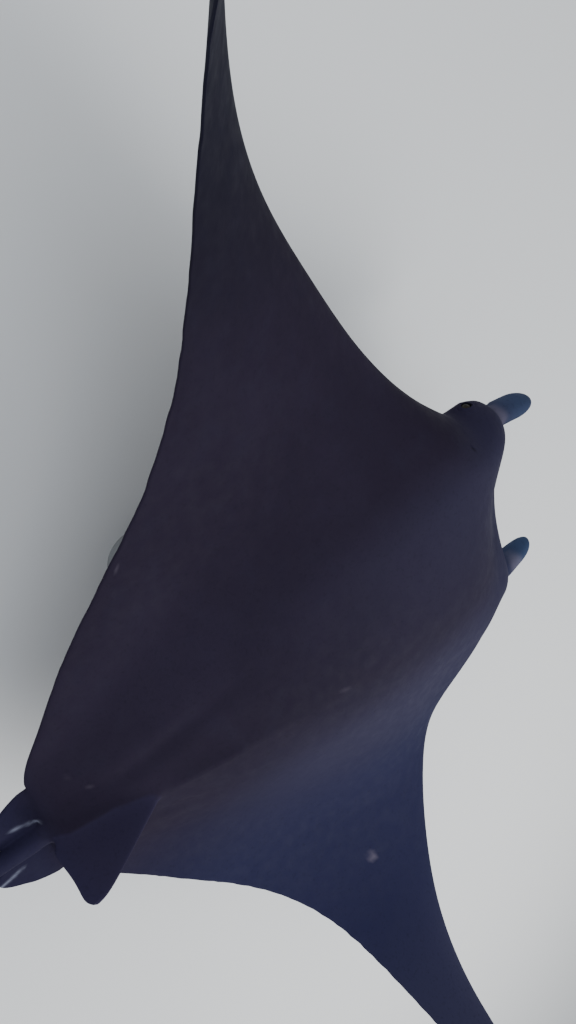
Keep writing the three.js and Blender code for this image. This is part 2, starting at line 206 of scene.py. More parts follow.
def relief(x, y, top, edge):
    """Millimetres outward, for points on the top (True) or on the underside."""
    ax = np.abs(x)
    over = RIDGE_HEIGHT * np.exp(-np.abs(ax / 0.8) ** 1.3) * bell(y, 36.5, 6.5, 3)
    foot = mix(5.2, 2.2, smooth((y - 29) / 14))
    over = over - FOOT_DEPTH * bell(ax, foot, 0.7) * bell(y, 41, 8, 4)
    over = over - TEMPLE_DEPTH * bell(np.hypot((ax - 9.4) / 1.5, (y - 5.6) / 1.1), 0, 1)
    behind, within = slit_frame(x, y, SPIRACLE, SPIRACLE_BOW, SPIRACLE_SOFT)
    over = over + slit_relief(behind, within, **SPIRACLE_SHAPE)
    under = 0.0
    for depth, at, before, after, end in JAW_CREASES:
        under = under - depth * bell(y, at, before, after) * smooth((end - ax) / 2)
    for ends in GILL_SLITS:
        behind, within = slit_frame(x, y, ends, GILL_BOW)
        under = under + slit_relief(behind, within, **GILL_SHAPE)
    pit = np.hypot((ax - NOSTRIL[0]) / 1.5, y - NOSTRIL[1]) * UNIT / MM
    under = under - NOSTRIL_DEPTH * bell(pit, 0, 5) + NOSTRIL_RIM * bell(pit, 11, 4)
    return np.where(top, over, under) * smooth(edge / 0.5)


def flutter(x, t, u):
    """The free rear edge of the wing waves a little, in millimetres up."""
    wave = 1.2 * np.sin(x * 0.9 + 1.0) + 0.8 * np.sin(x * 2.1) + 0.5 * np.sin(x * 3.7 + 2.0)
    return wave * smooth((t - 0.86) / 0.14) * smooth((u - 0.42) / 0.12) * smooth((1 - u) / 0.1)


RAGGED_DEPTH = 0.022


def ragged(x, u):
    """How far the rear edge itself is nibbled forward, in units."""
    wave = np.sin(x * 3.7) + 0.7 * np.sin(x * 7.9 + 0.6) + 0.5 * np.sin(x * 13.3 + 2.0)
    return RAGGED_DEPTH * (1 + wave) * smooth((u - 0.4) / 0.1)


def disc_points(span, turn, detailed):
    """Points in metres on the disc; span is -1 to 1 across it, turn runs under, front, over."""
    u = np.abs(span)
    t = (1 - np.cos(turn)) / 2
    front, rear, start = (smooth_curve(line, u).T for line in (FRONT_EDGE, REAR_EDGE, CHORD_LINE))
    y = mix(front[1], rear[1], t)
    x = mix(start[0], rear[0], t) + (front[0] - start[0]) * np.exp((front[1] - y) / HEAD_FLARE)
    edge = distance_to_line(x, y, FRONT_LINE)
    swell = swelling(x, y, t, edge)
    half = wing_half(x, t)
    brow = LIP_SLOPE * bell(y, 2, 3, 4) * bell(x, 0, 6) * bulge(edge / CHEEK_ROUND)
    over = half + BACK_RISE * bell(y, 19, 25, 24) * swell - brow
    under = -0.8 * half - BELLY_DROP * bell(y, 22, 16, 22) * swell
    top = turn >= 0
    z = np.where(top, over, under) * bulge((1 - u) / TIP_ROUND)
    if detailed:
        raised = relief(x, y, top, edge) * bulge((1 - t) / 0.05)
        z = z + np.where(top, 1, -1) * raised * MM / UNIT
        z = z + flutter(x, t, u) * MM / UNIT
        y = y - ragged(x, u) * smooth((t - 0.9) / 0.1)
    return place(np.stack([np.where(span < 0, -x, x), y, z], 1))


# ---- the disc as a mesh: a sheet of rows and columns, split finer where there is detail ----

SPAN_STEPS, CHORD_STEPS, SPLIT_PASSES = 100, 56, 4
RIM_SPAN, RIM_TURN, RIM_MERGE = 0.97, 3.08, 0.3 * MM
EYE_ZONE, LID_ZONE = 75 * MM, 46 * MM
EYE_FLAT = (9.55, 3.2, 0.3)
EYE_RADIUS = 23 * MM
EYE_CENTRE = {side: place([[way * EYE_FLAT[0], *EYE_FLAT[1:]]])[0] for side, way in SIDES}
EYE_AXIS = {side: np.array([way * 0.965, -0.2, 0.17]) for side, way in SIDES}


def wanted_spacing(points):
    """The longest edge allowed at each point, in metres."""
    x, y, z = in_units(points)
    x = np.abs(x)
    spacing = np.full(len(points), 32 * MM)
    spacing[(x < 13.5) & (y < 23)] = 19 * MM
    spacing[(x < 11) & (y < 8)] = 13 * MM
    spacing[(x < 5.5) & (y > 35)] = 13 * MM
    for ends in GILL_SLITS:
        behind, within = slit_frame(x, y, ends, GILL_BOW)
        spacing[(within > 0) & (behind > -26) & (behind < 30) & (z < -0.5)] = 7 * MM
    behind, within = slit_frame(x, y, SPIRACLE, SPIRACLE_BOW)
    spacing[(within > 0) & (np.abs(behind) < 16) & (z > 0)] = 3 * MM
    pit = np.hypot(x - NOSTRIL[0], y - NOSTRIL[1])
    spacing[(pit < 0.7) & (z < -0.3)] = 4.5 * MM
    spacing[(x < 7) & (y < 3.2) & (z < 0.7) & (z > -1.6)] = 8 * MM
    for side, _ in SIDES:
        away = np.linalg.norm(points - EYE_CENTRE[side], axis=1)
        spacing[away < EYE_ZONE] = np.minimum(spacing[away < EYE_ZONE], 7.5 * MM)
        spacing[away < LID_ZONE] = 2.7 * MM
    return spacing


def disc_mesh():
    """Lays a sheet over the whole disc and splits it where the edges are longer than wanted."""
    columns = np.linspace(-1, 1, 2 * SPAN_STEPS + 1)
    rows = np.linspace(-math.pi, math.pi, 2 * CHORD_STEPS + 1)
    bm = bmesh.new()
    span_layer = bm.verts.layers.float.new("span")
    turn_layer = bm.verts.layers.float.new("turn")
    grid = []
    for s in columns:
        line = []
        for r in rows:
            v = bm.verts.new((s, r, 0))
            v[span_layer], v[turn_layer] = s, r
            line.append(v)
        grid.append(line)
    for a, b in zip(grid[:-1], grid[1:]):
        for k in range(len(rows) - 1):
            bm.faces.new((a[k], b[k], b[k + 1], a[k + 1]))
    for _ in range(SPLIT_PASSES):
        bm.verts.index_update()
        ends = np.array([[v[span_layer], v[turn_layer]] for v in bm.verts])
        points = disc_points(*ends.T, False)
        pairs = np.array([[e.verts[0].index, e.verts[1].index] for e in bm.edges])
        a, b = points[pairs[:, 0]], points[pairs[:, 1]]
        long = np.linalg.norm(a - b, axis=1) > wanted_spacing((a + b) / 2)
        chosen = [e for e, is_long in zip(list(bm.edges), long) if is_long]
        if not chosen:
            break
        bmesh.ops.subdivide_edges(bm, edges=chosen, cuts=1, use_grid_fill=True)
    ends = np.array([[v[span_layer], v[turn_layer]] for v in bm.verts])
    for v, p in zip(bm.verts, disc_points(*ends.T, True)):
        v.co = p
    rim = [v for v in bm.verts if abs(v[span_layer]) > RIM_SPAN or abs(v[turn_layer]) > RIM_TURN]
    bmesh.ops.remove_doubles(bm, verts=rim, dist=RIM_MERGE)
    return bm


# Folds round each eye: how far from its axis, how wide, and how high or deep, in millimetres.
LID_THICKNESS, LID_BLEND, ORBIT_REACH = 3.2 * MM, 18 * MM, 75 * MM
LID_STRETCH = 1.3  # the folds are longer than high by this much
WRINKLE, WRINKLES_ROUND, WRINKLE_HEIGHT = (31, 8), 9, 0.5
LID_CREASE, LID_CREASE_DEPTH = (20, 2.2), 1.5
BROW_FOLD, BROW_FOLD_HEIGHT = (28, 5), 1.6
CHEEK_CREASE, CHEEK_CREASE_DEPTH = (37, 3.5), 1.4


def band(v, centre, width):
    return math.exp(-(((v - centre) / width) ** 2))


def eye_axes(side):
    """The eyeball's centre, the way it looks, and the level and upright directions across that."""
    centre, axis = Vector(EYE_CENTRE[side]), Vector(EYE_AXIS[side]).normalized()
    level = Vector((0, 0, 1)).cross(axis).normalized()
    return centre, axis, level, axis.cross(level)


def shape_orbits(bm):
    """Raises a fleshy lid over each eyeball, with folds round it, blended into the cheek."""
    lid = EYE_RADIUS + LID_THICKNESS
    for side, _ in SIDES:
        centre, axis, level, upright = eye_axes(side)
        for v in bm.verts:
            arm = v.co - centre
            far = arm.length
            if far > ORBIT_REACH:
                continue
            near = max(LID_BLEND - abs(far - lid), 0) / LID_BLEND
            target = max(far, lid) + near * near * LID_BLEND / 4
            ray = arm.normalized()
            ring = math.hypot(arm.dot(level) / LID_STRETCH, arm.dot(upright)) / MM
            facing = smooth((ray.dot(axis) + 0.1) / 0.5)
            waves = math.sin(WRINKLES_ROUND * math.atan2(ray.z, ray.y))
            fold = WRINKLE_HEIGHT * waves * band(ring, *WRINKLE)
            fold -= LID_CREASE_DEPTH * band(ring, *LID_CREASE)
            fold += BROW_FOLD_HEIGHT * band(ring, *BROW_FOLD) * clamp(ray.z + 0.5)
            fold -= CHEEK_CREASE_DEPTH * band(ring, *CHEEK_CREASE) * clamp(0.7 - ray.z)
            v.co = centre + ray * (target + fold * facing * MM)


# ---- closed surfaces from rings of points ----

POLE_MERGE = 0.02 * MM


def rings_mesh(rings):
    """Closes rings of points into a skin; each end is closed by a strip across its ring."""
    count, n = rings.shape[:2]
    bm = bmesh.new()
    verts = [[bm.verts.new(p) for p in ring] for ring in rings]
    for a, b in zip(verts[:-1], verts[1:]):
        for k in range(n):
            j = (k + 1) % n
            bm.faces.new((a[k], b[k], b[j], a[j]))
    for ring in (verts[0], verts[-1]):
        for k in range(n // 2 - 1):
            bm.faces.new((ring[k], ring[k + 1], ring[n - 2 - k], ring[n - 1 - k]))
    bmesh.ops.remove_doubles(bm, verts=bm.verts, dist=POLE_MERGE)
    bmesh.ops.recalc_face_normals(bm, faces=bm.faces)
    return bm


def round_turns(n):
    return np.linspace(0, 1, n, endpoint=False) * 2 * math.pi


BLADE_STEPS, BLADE_SIDES = 44, 22


def blade(front, rear, half_thickness, lay):
    """A fin between two edge lines, rounded in front and thin behind; lay puts it on the body."""
    rings = []
    for u in np.sin(np.linspace(0, math.pi / 2, BLADE_STEPS + 1)):
        a, b = smooth_curve(front, u)[0], smooth_curve(rear, u)[0]
        turn = np.arange(2 * BLADE_SIDES) * math.pi / BLADE_SIDES
        t = (1 - np.cos(turn)) / 2
        section = bulge(t / 0.35) * (1 - 0.75 * smooth((t - 0.35) / 0.65))
        section = section * bulge((1 - t) / 0.04) * np.where(turn < math.pi, 1, -1)
        d = section * half_thickness(u) * bulge((1.0005 - u) / 0.05)
        rings.append(place(lay(mix(a[0], b[0], t), mix(a[1], b[1], t), d)))
    return rings_mesh(np.array(rings))


DORSAL_FRONT = [
    [36.2, 2.2], [38.5, 3.2], [40.9, 4.3], [43.2, 5.5], [45.3, 6.5], [46.1, 6.75], [46.6, 6.74],
]
DORSAL_REAR = [
    [45.6, 0], [46.9, 1.5], [46.9, 3], [46.9, 4.6], [47.15, 5.8], [47.1, 6.3], [46.85, 6.64],
]
DORSAL_LEAN = 0.14
PELVIC_FRONT = [[0.3, 42.5], [1.8, 43], [3.2, 44], [4.2, 45.3], [4.5, 46.6], [3.6, 48.4]]
PELVIC_REAR = [[0.3, 47], [0.7, 49], [1.1, 50.3], [1.8, 50.8], [2.5, 50.3], [3.2, 49.2]]
PELVIC_LEVEL = -0.5


def dorsal_fin():
    def lay(y, z, d):
        return np.stack([d - DORSAL_LEAN * (z - 2), y, z], 1)
    return blade(DORSAL_FRONT, DORSAL_REAR, lambda u: mix(1.1, 0.14, bulge(u)), lay)


def pelvic_fin(way):
    def lay(x, y, d):
        return np.stack([way * x, y, PELVIC_LEVEL + 0.06 * x + d], 1)
    return blade(PELVIC_FRONT, PELVIC_REAR, lambda u: mix(0.4, 0.13, u), lay)


TAIL_START, TAIL_END = 41, 91
TAIL_STEPS, TAIL_SIDES = 150, 24
TAIL_ROOT_RADIUS, TAIL_TIP_RADIUS, TAIL_FLATNESS = 1.0, 0.12, 0.85
TAIL_ROUND_END = [1.0005, 1.0008]


def tail():
    """A whip that thins quickly behind the body, with one easy bend."""
    rings = []
    for f in np.append(np.linspace(0, 1, TAIL_STEPS) ** 1.15, TAIL_ROUND_END):
        y = mix(TAIL_START, TAIL_END, f)
        left = max(0, (TAIL_END - y) / (TAIL_END - TAIL_START))
        r = TAIL_TIP_RADIUS + TAIL_ROOT_RADIUS * left ** 2.4
        r *= float(bulge((TAIL_ROUND_END[-1] - f) / 0.0015))
        back = (y - TAIL_START) / (TAIL_END - TAIL_START)
        x = 2.4 * back - 4.6 * back**2 + 1.4 * back**3
        z = 0.5 - 3.5 * back + 4.6 * back**2
        turn = round_turns(TAIL_SIDES)
        high = TAIL_FLATNESS * r * np.sin(turn)
        flat = [x + r * np.cos(turn), np.full(TAIL_SIDES, y), z + high]
        rings.append(place(np.stack(flat, 1)))
    return rings_mesh(np.array(rings))


# ---- cephalic fins: each is a paddle rolled up lengthwise into a horn ----

HORN_ROOT = {"left": np.array([7.7, 3, 0.3]), "right": np.array([8.2, 3, 0.3])}
HORN_KNEE = {"left": np.array([7.6, 0, 0.5]), "right": np.array([9, -0.2, 0.5])}
HORN_TIP = {"left": np.array([7, -3.9, 0.8]), "right": np.array([7.7, -3.5, 0.9])}
HORN_BASE = {"left": 1.16, "right": 1.56}
HORN_TURNS, HORN_STEPS, HORN_SIDES = 1.1, 50, 64
HORN_SHEET, HORN_EDGE, HORN_DEPTH, HORN_END = 0.24, 0.1, 1.2, 1.0299
HORN_START_ANGLE, HORN_TIGHTENS, HORN_TIP_SIZE, HORN_CLOSE = 0.6, 0.46, 1.14, 1.03
HORN_ROOT_SIZE, HORN_ROOT_END = 0.55, 0.22
ROLL_AT = {}  # points on the inner face of each roll, for its paler colour


def cephalic_fin(side, way):
    """A sheet rolled into a spiral round a curved axis; the root dives clear of the eye socket."""
    root, knee, tip = HORN_ROOT[side], HORN_KNEE[side], HORN_TIP[side]
    k = np.arange(2 * HORN_SIDES)
    inner = k >= HORN_SIDES
    q = np.where(inner, 2 * HORN_SIDES - 1 - k, k) / (HORN_SIDES - 1)
    angle = 2 * math.pi * (HORN_START_ANGLE - HORN_TURNS * q)
    sheet = mix(HORN_EDGE, HORN_SHEET, bulge(q / 0.2) * bulge((1 - q) / 0.2))
    rings = []
    for s in HORN_END * np.sin(np.linspace(0, math.pi / 2, HORN_STEPS + 1)):
        axis = (1 - s) ** 2 * root + 2 * s * (1 - s) * knee + s**2 * tip
        along = 2 * (1 - s) * (knee - root) + 2 * s * (tip - knee)
        along /= np.linalg.norm(along)
        across = np.cross(along, [0, 0, 1])
        across /= np.linalg.norm(across)
        upward = np.cross(across, along)
        radius = mix(HORN_BASE[side], HORN_TIP_SIZE, smooth((s - 0.25) / 0.6))
        radius = radius * bulge((HORN_CLOSE - s) / 0.3)
        radius = radius * mix(HORN_ROOT_SIZE, 1, smooth(s / HORN_ROOT_END))
        r = (radius * (1 - HORN_TIGHTENS * q - np.where(inner, sheet, 0)))[:, None]
        p = axis + across * r * np.cos(angle)[:, None]
        p = p + HORN_DEPTH * upward * r * np.sin(angle)[:, None]
        rings.append(place(p * [way, 1, 1]))
    rings = np.array(rings)
    ROLL_AT[side] = rings[:HORN_STEPS // 2, HORN_SIDES + 4:].reshape(-1, 3)
    return rings_mesh(rings)


# ---- openings: the mouth and the eye sockets ----

MOUTH_MIDDLE, MOUTH_HALF = (0, 1.2, -0.6), (6.6, 4.8, 0.45)
LIP_WIDTH, LIP_FULLNESS = 24 * MM, 5 * MM
GILL_ARCHES, GILL_ARCH_HEIGHT = 22, 0.35
LID_HALF_LONG, LID_HALF_HIGH = 16.5 * MM, 11.5 * MM
LID_FLARE = ((4 * MM, 0.8), (14 * MM, 0.9), (20 * MM, 1), (30 * MM, 1.25), (45 * MM, 1.7))
LID_SIDES = 48
SOCKET_GAP = 0.4 * MM


def mouth_cutter():
    """A flat hollow whose rear half is rippled by low gill arches."""
    bm = bmesh.new()
    bmesh.ops.create_uvsphere(bm, u_segments=96, v_segments=40, radius=UNIT)
    for v in bm.verts:
        inward = clamp(v.co.y / UNIT)
        ripple = math.sin(math.hypot(v.co.x, v.co.y) * GILL_ARCHES / UNIT)
        arches = 1 + GILL_ARCH_HEIGHT * inward * ripple
        v.co = Vector([a * b for a, b in zip(v.co, MOUTH_HALF)])
        v.co.z *= arches
    centre = Vector(place([MOUTH_MIDDLE])[0])
    bmesh.ops.translate(bm, vec=centre, verts=bm.verts)
    return bm


def socket_cutters(side):
    """A ball a little larger than the eyeball, and the lens-shaped opening between the lids."""
    centre, axis, level, upright = eye_axes(side)
    ball = bmesh.new()
    radius = EYE_RADIUS + SOCKET_GAP
    bmesh.ops.create_uvsphere(ball, u_segments=LID_SIDES, v_segments=32, radius=radius)
    bmesh.ops.translate(ball, vec=centre, verts=ball.verts)
    turn = round_turns(LID_SIDES)
    rings = []
    for depth, size in LID_FLARE:
        across = LID_HALF_LONG * size * np.cos(turn)[:, None] * np.array(level)
        high = LID_HALF_HIGH * size * np.sin(turn)[:, None] * np.array(upright)
        rings.append(np.array(centre) + depth * np.array(axis) + across + high)
    return ball, rings_mesh(np.array(rings))


# ---- joining: exact unions and cuts, then the joins are rounded ----

PARTS = ("disc", "horn", "dorsal", "pelvic", "tail", "mouth", "socket")
PART_MATERIALS = [bpy.data.materials.new(f"part_{name}") for name in PARTS]
SLIVER, TIDY_PASSES, ROUNDING_PULL = 1.2 * MM, 12, 0.6
# How far from a join the skin is smoothed, and how many passes: by the part that is joined on.
JOIN_RADIUS = {
    "horn": (26 * MM, 26), "dorsal": (36 * MM, 24), "pelvic": (24 * MM, 16), "tail": (40 * MM, 30),
    "mouth": (9 * MM, 6), "socket": (3 * MM, 2),
}


def point_finder(points):
    """A search tree that finds the nearest of the points."""
    tree = KDTree(len(points))
    for i, p in enumerate(points):
        tree.insert(p, i)
    tree.balance()
    return tree


def face_outward(bm):
    bmesh.ops.recalc_face_normals(bm, faces=bm.faces)
    if bm.calc_volume(signed=True) < 0:
        bmesh.ops.reverse_faces(bm, faces=bm.faces)


def part_object(name, bm):
    for f in bm.faces:
        f.material_index = PARTS.index(name)
    face_outward(bm)
    mesh = bpy.data.meshes.new(name)
    bm.to_mesh(mesh)
    bm.free()
    for material in PART_MATERIALS:
        mesh.materials.append(material)
    made = bpy.data.objects.new(name, mesh)
    bpy.context.scene.collection.objects.link(made)
    return made


def combine(body, tool, operation):
    cut = body.modifiers.new("combine", "BOOLEAN")
    cut.object, cut.operation, cut.solver = tool, operation, "MANIFOLD"
    evaluated = body.evaluated_get(bpy.context.evaluated_depsgraph_get())
    mesh = bpy.data.meshes.new_from_object(evaluated)
    body.modifiers.clear()
    body.data = mesh
    bpy.data.objects.remove(tool)


def seam_points(bm):
    """The points where two parts meet, by the name of the part that is joined on."""
    seams = {name: [] for name in JOIN_RADIUS}
    for e in bm.edges:
        kinds = {f.material_index for f in e.link_faces}
        if len(kinds) == 2:
            seams[PARTS[max(kinds)]] += [v.co.copy() for v in e.verts]
    return seams


def round_joins(bm):
    """Smooths the skin near each join: fully at the join, fading out to the radius."""
    weights = np.zeros(len(bm.verts))
    passes = np.zeros(len(bm.verts), int)
    points = np.array([v.co for v in bm.verts])
    for name, places in seam_points(bm).items():
        if not places:
            continue
        tree = point_finder(places)
        radius, count = JOIN_RADIUS[name]
        low, high = np.min(places, 0) - radius, np.max(places, 0) + radius
        for i in np.flatnonzero(np.all((points > low) & (points < high), 1)):
            weight = float(smooth(1.25 * (1 - tree.find(points[i])[2] / radius)))
            if weight > weights[i]:
                weights[i], passes[i] = weight, count
    pairs = np.array([[e.verts[0].index, e.verts[1].index] for e in bm.edges])
    ends = np.concatenate([pairs, pairs[:, ::-1]])
    near = weights[ends[:, 0]] > 0
    ends = ends[near]
    count = np.maximum(1, np.bincount(ends[:, 0], minlength=len(points)))[:, None]
    for step in range(max(passes)):
        total = np.stack([
            np.bincount(ends[:, 0], points[ends[:, 1], axis], len(points)) for axis in range(3)
        ], 1)
        pull = (weights * (step < passes))[:, None] * ROUNDING_PULL
        points = points + pull * (total / count - points)
    for v, p in zip(bm.verts, points):
        v.co = p


def fill_lips(bm):
    """Thickens the skin round the mouth into an upper and a lower lip."""
    places = seam_points(bm)["mouth"]
    tree = point_finder(places)
    bm.normal_update()
    lining = PARTS.index("mouth")
    low, high = np.min(places, 0) - LIP_WIDTH, np.max(places, 0) + LIP_WIDTH
    moves = []
    for v in bm.verts:
        if any(f.material_index == lining for f in v.link_faces):
            continue
        if all(a < c < b for a, c, b in zip(low, v.co, high)):
            away = tree.find(v.co)[2] / LIP_WIDTH
            moves.append((v, v.normal * LIP_FULLNESS * band(away, 0.35, 0.35)))
    for v, move in moves:
        v.co += move


def tidy_seams(bm):
    """Collapses the slivers along the joins, edge by edge, only where the skin stays closed."""
    close = set()
    for e in bm.edges:
        if len({f.material_index for f in e.link_faces}) == 2:
            close.update(e.verts)
    for v in list(close):
        close.update(e.other_vert(v) for e in v.link_edges)
    bmesh.ops.triangulate(bm, faces=[f for f in bm.faces if not close.isdisjoint(f.verts)])
    for _ in range(TIDY_PASSES):
        close = {v for v in close if v.is_valid}
        used, short = set(), []
        for e in bm.edges:
            if e.calc_length() > SLIVER or not close.issuperset(e.verts):
                continue
            rings = [{o.other_vert(v) for o in v.link_edges} for v in e.verts]
            corners = {v for f in e.link_faces for v in f.verts}
            if len(corners) != 4 or len(rings[0] & rings[1]) != 2:
                continue
            if used.isdisjoint(rings[0] | rings[1]):
                used |= rings[0] | rings[1]
                short.append(e)
        if not short:
            break
        bmesh.ops.collapse(bm, edges=short)
    flaps = [f for f in bm.faces if any(len(e.link_faces) == 1 for e in f.edges)]
    bmesh.ops.delete(bm, geom=flaps, context="FACES")


def build_skin():
    """Joins the fins and tail to the disc, cuts the mouth and sockets, and smooths every join."""
    base = disc_mesh()
    shape_orbits(base)
    body = part_object("disc", base)
    for side, way in SIDES:
        combine(body, part_object("horn", cephalic_fin(side, way)), "UNION")
    for side, _ in SIDES:
        for cutter in socket_cutters(side):
            combine(body, part_object("socket", cutter), "DIFFERENCE")
    combine(body, part_object("mouth", mouth_cutter()), "DIFFERENCE")
    combine(body, part_object("tail", tail()), "UNION")
    combine(body, part_object("dorsal", dorsal_fin()), "UNION")
    for _, way in SIDES:
        combine(body, part_object("pelvic", pelvic_fin(way)), "UNION")
    bm = bmesh.new()
    bm.from_mesh(body.data)
    bpy.data.objects.remove(body)
    tidy_seams(bm)
    face_outward(bm)
    fill_lips(bm)
    bm.verts.index_update()
    round_joins(bm)
    for name in ("mouth", "socket", "dorsal"):
        layer = bm.verts.layers.float.new(f"is_{name}")
        for v in bm.verts:
            own = sum(PARTS[f.material_index] == name for f in v.link_faces)
            v[layer] = own / len(v.link_faces)
    return bm


# ---- colours and nodes ----

def rgb(code):
    """An sRGB hex value as the linear colour the shader wants."""
    parts = [int(code[i:i + 2], 16) / 255 for i in (1, 3, 5)]
    return (*[v / 12.92 if v <= 0.04045 else ((v + 0.055) / 1.055) ** 2.4 for v in parts], 1.0)


def add(tree, kind, inputs=None, **settings):
    """Adds a node: settings are its properties; inputs, by name or place, are values or sockets."""
    made = tree.nodes.new(kind)
    for name, value in settings.items():
        setattr(made, name, value)
    for key, value in (inputs or {}).items():
        socket = made.inputs[key]
        if isinstance(value, bpy.types.NodeSocket):
            tree.links.new(value, socket)
        else:
            socket.default_value = value
    return made


def new_material(name):
    material = bpy.data.materials.new(name)
    material.use_nodes = True
    tree = material.node_tree
    shader = tree.nodes["Principled BSDF"]
    return material, tree, shader


def two_tones(ramp, *stops):
    """Sets the positions and colours of a colour ramp's two stops."""
    for stop, (position, code) in zip(ramp.color_ramp.elements, stops):
        stop.position, stop.color = position, rgb(code)


def add_patterns(tree, table, where=None):
    """Cloudy patterns: size in mm, detail, roughness, and levels to fade in between, if any."""
    where = where or add(tree, "ShaderNodeTexCoord").outputs["Object"]
    made = {}
    for name, (size_mm, detail, roughness, *levels) in table.items():
        made[name] = add(tree, "ShaderNodeTexNoise", {
            "Vector": where, "Scale": 1 / (size_mm * MM), "Detail": detail, "Roughness": roughness,
        }).outputs["Fac"]
        if levels:
            made[name] = add(tree, "ShaderNodeMapRange", {
                "Value": made[name], "From Min": levels[0], "From Max": levels[1],
            }, interpolation_type="SMOOTHSTEP").outputs["Result"]
    return made


def finish_shader(tree, shader, colour, roughness, *bumps):
    """Links colour and roughness, and lays the bumps (pattern, strength, height in mm) in turn."""
    tree.links.new(colour, shader.inputs["Base Color"])
    if isinstance(roughness, float):
        shader.inputs["Roughness"].default_value = roughness
    else:
        tree.links.new(roughness, shader.inputs["Roughness"])
    under = {}
    for pattern, strength, height in bumps:
        bump = add(tree, "ShaderNodeBump", {
            "Height": pattern, "Strength": strength, "Distance": height * MM, **under,
        })
        under = {"Normal": bump.outputs["Normal"]}
    if under:
        tree.links.new(under["Normal"], shader.inputs["Normal"])


# Denticles under 1 mm are too fine to show, so the fine bump is drawn coarser.
HIDE_PATTERNS = {
    "clouds": (420, 4.0, 0.5, 0.35, 0.65), "mottling": (60, 5.0, 0.6, 0.45, 0.8),
    "specks": (9, 3.0, 0.5, 0.5, 0.8), "belly_edge": (90, 5.0, 0.6),
    # The 30 mm noise after the smudges only breaks up the painted glint lines by the tail.
    "smudges": (26, 4.0, 0.5, 0.3, 0.5), "glint_breakup": (30, 3.0, 0.5, 0.1, 0.5),
    "streaks": (40, 4.0, 0.5, 0.25, 0.75), "slime": (35, 4.0, 0.5, -1.6, 1.6),
    "denticles": (3.5, 2.0, 0.5), "folds": (24, 4.0, 0.55),
}
HIDE_MASKS = ("blue", "light", "painted_wing_shade", "is_dorsal", "horn_tint", "pale_belly", "painted_glint", "roll",
              "is_mouth", "is_socket", "painted_slit_shade", "fleck")
# From the ground up: each colour, its strength, and the patterns and masks that say where it lies.
HIDE_GROUND = "#251f2e"
HIDE_LAYERS = [
    # Painted light: the right flank, the top and front of the head and the right wing tip are
    # coloured lighter.
    # Partly painted light: the bluish tint is strongest on the right wing and the right of the
    # head, the side that was lit more.
    ("#292333", 1, "clouds"), ("#252642", 1, "blue"), ("#3a3950", 1, "light"),
    # Painted light: the dorsal fin is coloured lighter than the back, to offset the shade on its
    # side.
    # Painted shade: the left wing is coloured darker towards its tip.
    # Partly painted light: the horns are tinted blue-grey, the right horn more than the left as the
    # lit side.
    ("#151620", 1, "painted_wing_shade"), ("#332f49", 0.5, "is_dorsal"), ("#374662", 1, "horn_tint"),
    ("#2c2d3f", 0.12, "mottling"), ("#14141c", 0.22, "specks"), ("#cfcfca", 1, "belly_patch"),
    # Painted highlights: pale glint lines by the root of the tail, broken up by noise.
    ("#8f93a6", 1, "painted_glint", "glint_breakup"), ("#5a6484", 1, "roll", "streaks"),
    # Painted shade: the floors of the gill slits and the spiracles are coloured near-black.
    # Painted shade: the skin lining the eye sockets, in the gap round each eyeball, is coloured
    # near-black.
    ("#3a3238", 1, "is_mouth"), ("#0d0d12", 1, "is_socket"), ("#0c0c12", 1, "painted_slit_shade"),
    ("#8d8390", 1, "fleck"),
]


def skin_material():
    """Manta hide: matt blue-black skin, rough with tiny scales under a thin film of slime."""
    material, tree, shader = new_material("manta_hide")
    at = add_patterns(tree, HIDE_PATTERNS)
    for name in HIDE_MASKS:
        at[name] = add(tree, "ShaderNodeAttribute", attribute_name=name).outputs["Fac"]
    # The white patch has an edge broken up by noise, and is a little dirty.
    broken = add(tree, "ShaderNodeMath", {0: at["belly_edge"], 1: 0.6, 2: -0.3},
                 operation="MULTIPLY_ADD")
    broken = add(tree, "ShaderNodeMath", {0: at["pale_belly"], 1: broken.outputs[0]},
                 operation="ADD")
    patch = add(tree, "ShaderNodeMapRange", {
        "Value": broken.outputs[0], "From Min": 0.38, "From Max": 0.6,
    }, interpolation_type="SMOOTHSTEP")
    dirt = add(tree, "ShaderNodeMath", {0: at["smudges"], 1: 0.25, 2: 0.75},
               operation="MULTIPLY_ADD")
    at["belly_patch"] = add(tree, "ShaderNodeMath", {
        0: patch.outputs["Result"], 1: dirt.outputs[0],
    }, operation="MULTIPLY").outputs[0]
    colour = rgb(HIDE_GROUND)
    for code, strength, *places in HIDE_LAYERS:
        amount = at[places[0]]
        for factor in [at[name] for name in places[1:]] + [strength] * (strength < 1):
            amount = add(tree, "ShaderNodeMath", {0: amount, 1: factor},
                         operation="MULTIPLY").outputs[0]
        colour = add(tree, "ShaderNodeMix", {0: amount, 6: colour, 7: rgb(code)},
                     data_type="RGBA").outputs[2]
    shader.inputs["Specular IOR Level"].default_value = 0.07
    shader.inputs["IOR"].default_value = 1.4
    finish_shader(tree, shader, colour, at["slime"], (at["denticles"], 0.22, 1.2),
                  (at["folds"], 0.15, 5))
    return material


# ---- pieces ----

def finish_piece(name, bm, material, replaced):
    """Makes the bmesh a piece of the model, with its material and what it replaces."""
    mesh = bpy.data.meshes.new(name)
    bm.normal_update()
    for f in bm.faces:
        f.smooth = True
        f.material_index = 0
    bm.to_mesh(mesh)
    bm.free()
    mesh.materials.clear()
    mesh.materials.append(material)
    piece = bpy.data.objects.new(name, mesh)
    bpy.context.scene.collection.objects.link(piece)
    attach(piece, "root")
    if replaced:
        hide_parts(*replaced)
    return mesh


def set_mask(mesh, name, values):
    attribute = mesh.attributes.new(name, "FLOAT", "POINT")
    attribute.data.foreach_set("value", np.asarray(clamp(values), np.float32))


